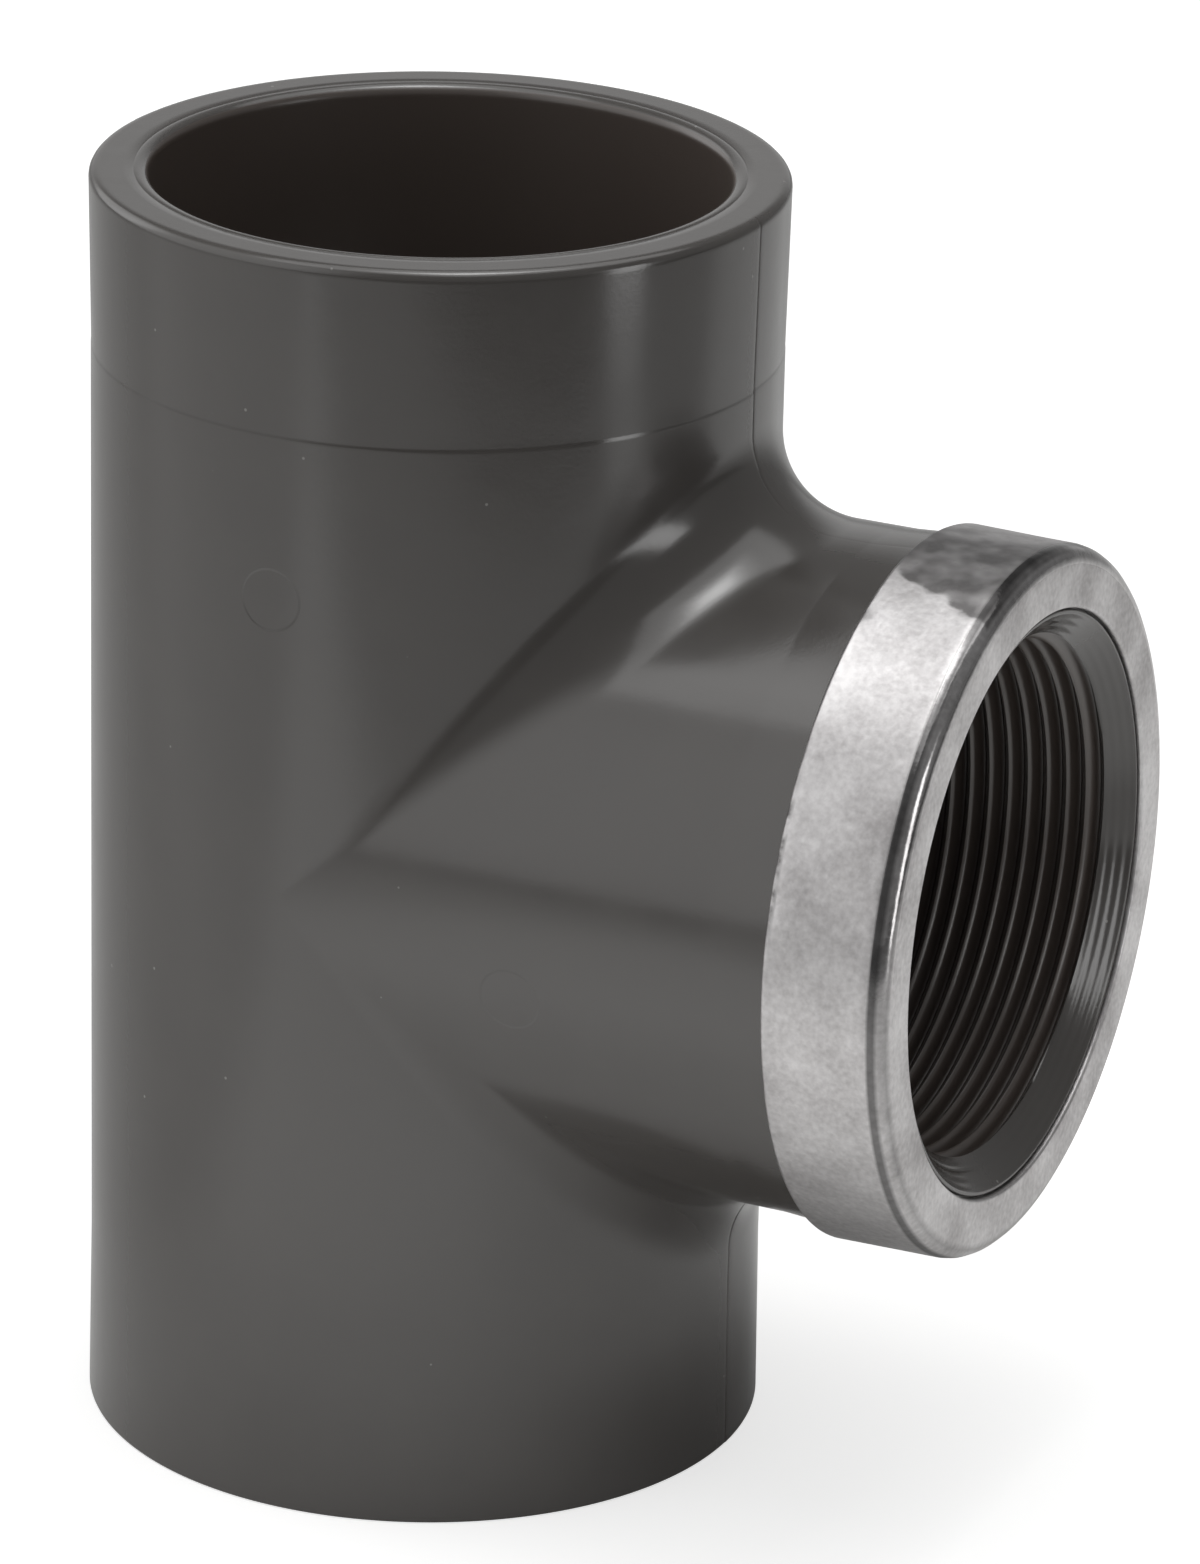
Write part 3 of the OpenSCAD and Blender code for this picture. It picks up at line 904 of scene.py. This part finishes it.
# %% [markdown]
# ## Floor, light and camera
# The tee stands on a table of pale paper under a large soft lamp, with a smaller soft
# lamp beyond the branch and white walls. Satin plastic shows what stands round it more
# than its own colour, so the walls of the studio matter as much as the lamps. Real paper
# also grows darker away from the lamp and past the table's edge, and the plastic's lower
# half shows exactly that. So for reflections the paper has painted shade instead of an
# even tone, each a soft ramp over the distance in some direction: darker away from the
# lamp, past the table's edge and to the left, a painted shadow by the foot behind and
# right of the tee, and a painted glow of light in front of it. For the camera it stays
# pale and keeps only the object's shadow.

# %% Tones of the paper: painted shade, a painted shadow and a painted glow
paper, tree, place = new_material("studio_paper")
away = add(tree, "ShaderNodeVectorMath", {0: place}, operation="LENGTH").outputs["Value"]
spot = add(tree, "ShaderNodeSeparateXYZ", {"Vector": place}).outputs
# How far each point of the paper lies to the front and right, and to the left
corner = add(tree, "ShaderNodeVectorMath", {0: place, 1: (0.84, -0.545, 0.0)},
             operation="DOT_PRODUCT").outputs["Value"]
left = add(tree, "ShaderNodeVectorMath", {0: place, 1: (-1.0, 0.15, 0.0)},
           operation="DOT_PRODUCT").outputs["Value"]
TONES = [
    # name, what the ramp follows, where it starts and ends in metres, and the value at each
    # fade, edge and left are painted shade; by foot with right and back is a painted shadow behind
    # and right of the foot; before is a painted glow; haze is the pale paper the camera sees
    ("fade", away, 0.3, 0.9, 0.0, 0.4),
    ("near edge", corner, 0.13, 0.2, 0.0, 0.5),
    ("edge", corner, 0.362, 0.4, "near edge", 1.0),
    ("left", left, 0.03, 0.09, 0.0, 0.3),
    ("by foot", away, 0.042, 0.08, 0.5, 0.0),
    ("right", spot["X"], 0.02, 0.045, 0.0, 1.0),
    ("back", spot["Y"], -0.035, 0.0, 0.0, 1.0),
    ("before", spot["Y"], -0.045, -0.13, 0.04, 0.27),
    ("haze", away, 0.35, 1.0, 0.68, 1.05),
]
ramp = {}
for name, measure, start, end, at_start, at_end in TONES:
    ramp[name] = add(tree, "ShaderNodeMapRange", {
        "Value": measure, "From Min": start, "From Max": end,
        "To Min": ramp.get(at_start, at_start), "To Max": at_end},
        interpolation_type="SMOOTHSTEP")
print("tones of the paper:", ", ".join(ramp))

# %% Floor
# Painted shade and the painted shadow by the foot darken the paper towards #666666 in reflections.
behind_right = add(tree, "ShaderNodeMath", {0: ramp["right"], 1: ramp["back"]},
                   operation="MULTIPLY")
dark = add(tree, "ShaderNodeMath", {0: ramp["by foot"], 1: behind_right}, operation="MULTIPLY")
for name in ("fade", "edge", "left"):
    dark = add(tree, "ShaderNodeMath", {0: dark, 1: ramp[name]}, operation="MAXIMUM")
tone = add(tree, "ShaderNodeMixRGB", {
    "Fac": dark, "Color1": linear("#f4f4f3"), "Color2": linear("#666666")})
light = add(tree, "ShaderNodeMath", {0: 1.0, 1: dark}, operation="SUBTRACT")
# Painted light: the paper glows in front of the tee, for reflections only.
glow = add(tree, "ShaderNodeMath", {0: ramp["before"], 1: light}, operation="MULTIPLY")
mirrored, seen = (
    add(tree, "ShaderNodeAddShader", {
        0: add(tree, "ShaderNodeBsdfDiffuse", {"Color": colour}),
        1: add(tree, "ShaderNodeEmission", {"Color": linear("#ffffff"), "Strength": strength})})
    for colour, strength in ((tone, glow), (linear("#d0d0cf"), ramp["haze"])))
rays = add(tree, "ShaderNodeLightPath").outputs
shown = add(tree, "ShaderNodeMixShader", {0: rays["Is Camera Ray"], 1: mirrored, 2: seen})
add(tree, "ShaderNodeOutputMaterial", {"Surface": shown})

HALF_SIDE = 4.0         # in metres
floor_mesh = bpy.data.meshes.new("floor")
floor_corners = HALF_SIDE * np.array([(-1, -1, 0), (1, -1, 0), (1, 1, 0), (-1, 1, 0)])
floor_mesh.from_pydata(floor_corners.tolist(), [], [(0, 1, 2, 3)])
floor_mesh.materials.append(paper)
floor = bpy.data.objects.new("floor", floor_mesh)
bpy.context.scene.collection.objects.link(floor)
print("paper:", len(tree.nodes), "nodes")

# %% [markdown]
# ## The studio's walls
# Cards modelled round the object would show in other views. Painting the walls into the
# world by direction keeps the scene plain: each wall is a soft patch round one direction,
# and its brightness falls off with the angle from there. The camera itself sees white.

# %% Studio walls, painted into the world
world = bpy.data.worlds.new("studio")
bpy.context.scene.world = world
world.use_nodes = True
tree = world.node_tree
tree.nodes.clear()
rays = add(tree, "ShaderNodeLightPath").outputs
way = add(tree, "ShaderNodeTexCoord").outputs["Generated"]


def aim(azimuth, elevation):
    """The direction that lies so many degrees round from +X and up."""
    a, e = math.radians(azimuth), math.radians(elevation)
    return Vector((math.cos(a) * math.cos(e), math.sin(a) * math.cos(e), math.sin(e)))


# Each wall: direction round from +X and up, degrees to its inner and outer edge, brightness
WALLS = [(215, 18, 28, 58, 0.74), (165, 18, 14, 26, 0.92), (115, 0, 5, 33, 0.4)]
total = 0.2             # brightness of the studio all round, before the walls
for azimuth, elevation, inner, outer, strength in WALLS:
    towards = add(tree, "ShaderNodeVectorMath", {0: way, 1: aim(azimuth, elevation)},
                  operation="DOT_PRODUCT")
    patch = add(tree, "ShaderNodeMapRange", {
        "Value": towards.outputs["Value"], "From Min": math.cos(math.radians(outer)),
        "From Max": math.cos(math.radians(inner)), "To Max": strength},
        interpolation_type="SMOOTHSTEP")
    total = add(tree, "ShaderNodeMath", {0: total, 1: patch}, operation="ADD")
sky = add(tree, "ShaderNodeBackground", {"Color": linear("#ffffff"), "Strength": total})
white = add(tree, "ShaderNodeBackground", {"Color": linear("#ffffff"), "Strength": 1.0})
shown = add(tree, "ShaderNodeMixShader", {0: rays["Is Camera Ray"], 1: sky, 2: white})
add(tree, "ShaderNodeOutputWorld", {"Surface": shown})
print("walls:", len(WALLS), "soft patches")

# %% [markdown]
# ## The lamps
# The long highlights in the crotch are the picture of one large softbox overhead that
# grows hotter towards its middle, so that lamp is a stack of ever smaller rectangles, one
# just below the other, and another beside them brightens the branch. A small softbox low
# beyond the branch gives the thin bright line on the ring's bend. Each is set by how
# bright its face looks, and the power follows from that and from its size.

# %% Lamps
def softbox(name, centre, aim_at, width, height, radiance):
    """A soft lamp: a lit rectangle at a place in millimetres from the crossing."""
    lamp = bpy.data.lights.new(name, "AREA")
    lamp.shape, lamp.size, lamp.size_y = "RECTANGLE", width / 1000, height / 1000
    lamp.energy = radiance * math.pi * lamp.size * lamp.size_y
    holder = bpy.data.objects.new(name, lamp)
    holder.location = to_metres(centre)
    towards = Vector(aim_at) - Vector(centre)
    holder.rotation_euler = towards.to_track_quat("-Z", "Y").to_euler()
    bpy.context.scene.collection.objects.link(holder)


# Each row: name, centre, width and length of a rectangle overhead, and how bright it is
OVERHEAD = [
    ("overhead", (50, 110, 900), 960, 1180, 0.95),
    ("overhead_glow", (65, 30, 895), 440, 600, 0.5),
    ("overhead_core", (65, 25, 890), 300, 380, 1.6),
    ("overhead_heart", (65, 22, 885), 160, 220, 3.2),
    ("overhead_side", (-330, -110, 890), 220, 260, 0.25),
]
for name, (x, y, z), width, length, radiance in OVERHEAD:
    below = (x - 1.7, y - 9.8, 0)       # a little to the side, so that the turn is defined
    softbox(name, (x, y, z), below, width, length, radiance)
softbox("beyond_branch", (420, -25, 50), (0, 0, 50), 90, 220, 2.4)

# %% [markdown]
# ## The camera
# A camera can be placed by eye, but here the outlines of the mouths and the ring were
# fitted to the measured model, which gives its direction, distance and lens. Its place
# follows from two angles and a distance, and a third angle rolls it a little.

# %% Camera, at the photograph's place
AZIMUTH, ELEVATION, ROLL = np.radians([25.052, 21.06, 1.314]).tolist()
DISTANCE = 908.4        # from the crossing, in millimetres
TO_RIGHT, UPWARDS = 18.69, 1.18     # how far the view's centre misses the crossing
SENSOR, LENS = 36.0, 188.03         # in millimetres

back = Vector((math.sin(AZIMUTH) * math.cos(ELEVATION), -math.cos(AZIMUTH) * math.cos(ELEVATION),
               math.sin(ELEVATION)))
level_right = (-back).cross(Vector((0, 0, 1))).normalized()
level_up = level_right.cross(-back)
right = level_right * math.cos(ROLL) + level_up * math.sin(ROLL)
up = -level_right * math.sin(ROLL) + level_up * math.cos(ROLL)
spot = back * DISTANCE + level_right * TO_RIGHT + level_up * UPWARDS

camera = bpy.data.objects.new("camera", bpy.data.cameras.new("camera"))
camera.data.sensor_fit = "VERTICAL"
camera.data.sensor_height = SENSOR
camera.data.lens = LENS
turned = Matrix((right, up, back)).transposed().to_4x4()
turned.translation = Vector(to_metres(spot))
camera.matrix_world = turned
bpy.context.scene.collection.objects.link(camera)
bpy.context.scene.camera = camera
bpy.context.scene.view_settings.view_transform = "Standard"
print("camera", round(spot.length / 1000, 3), "m from the crossing")
